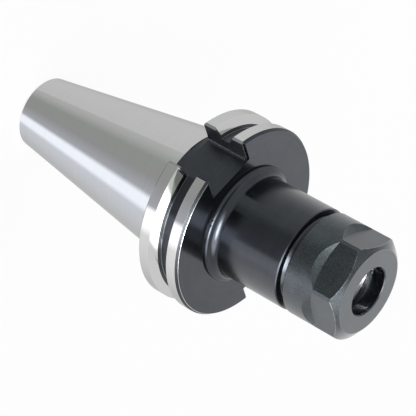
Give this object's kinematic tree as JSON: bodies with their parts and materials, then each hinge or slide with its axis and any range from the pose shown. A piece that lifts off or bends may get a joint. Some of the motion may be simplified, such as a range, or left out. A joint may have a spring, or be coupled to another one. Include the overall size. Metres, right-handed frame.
{
  "type": "collet chuck holder",
  "caption": "Steep taper tool holder with a grooved flange, two key slots, a plain neck and a hexagonal clamping nut over its collet pocket.",
  "frame": {"origin": "centre of the gauge line, where the taper measures 44.45 mm across", "axes": "+Z along the axis from the taper towards the nut, +X out of the shallower key slot"},
  "size_m": [0.061, 0.0636, 0.1357],
  "materials": {
    "body_steel": "ground bright on the taper, the two rims, the groove flanks and the collet pocket, black oxide over fine turning elsewhere",
    "nut_steel": "black oxide over a fine turned and milled surface"
  },
  "bodies": {
    "holder": {"holder_body": "body_steel"},
    "nut": {"clamping_nut": "nut_steel"}
  },
  "joints": [
    {"name": "nut_off", "type": "slide", "parent": "holder", "child": "nut", "axis": [0, 0, 1], "range_m": [0, 0.013]}
  ]
}
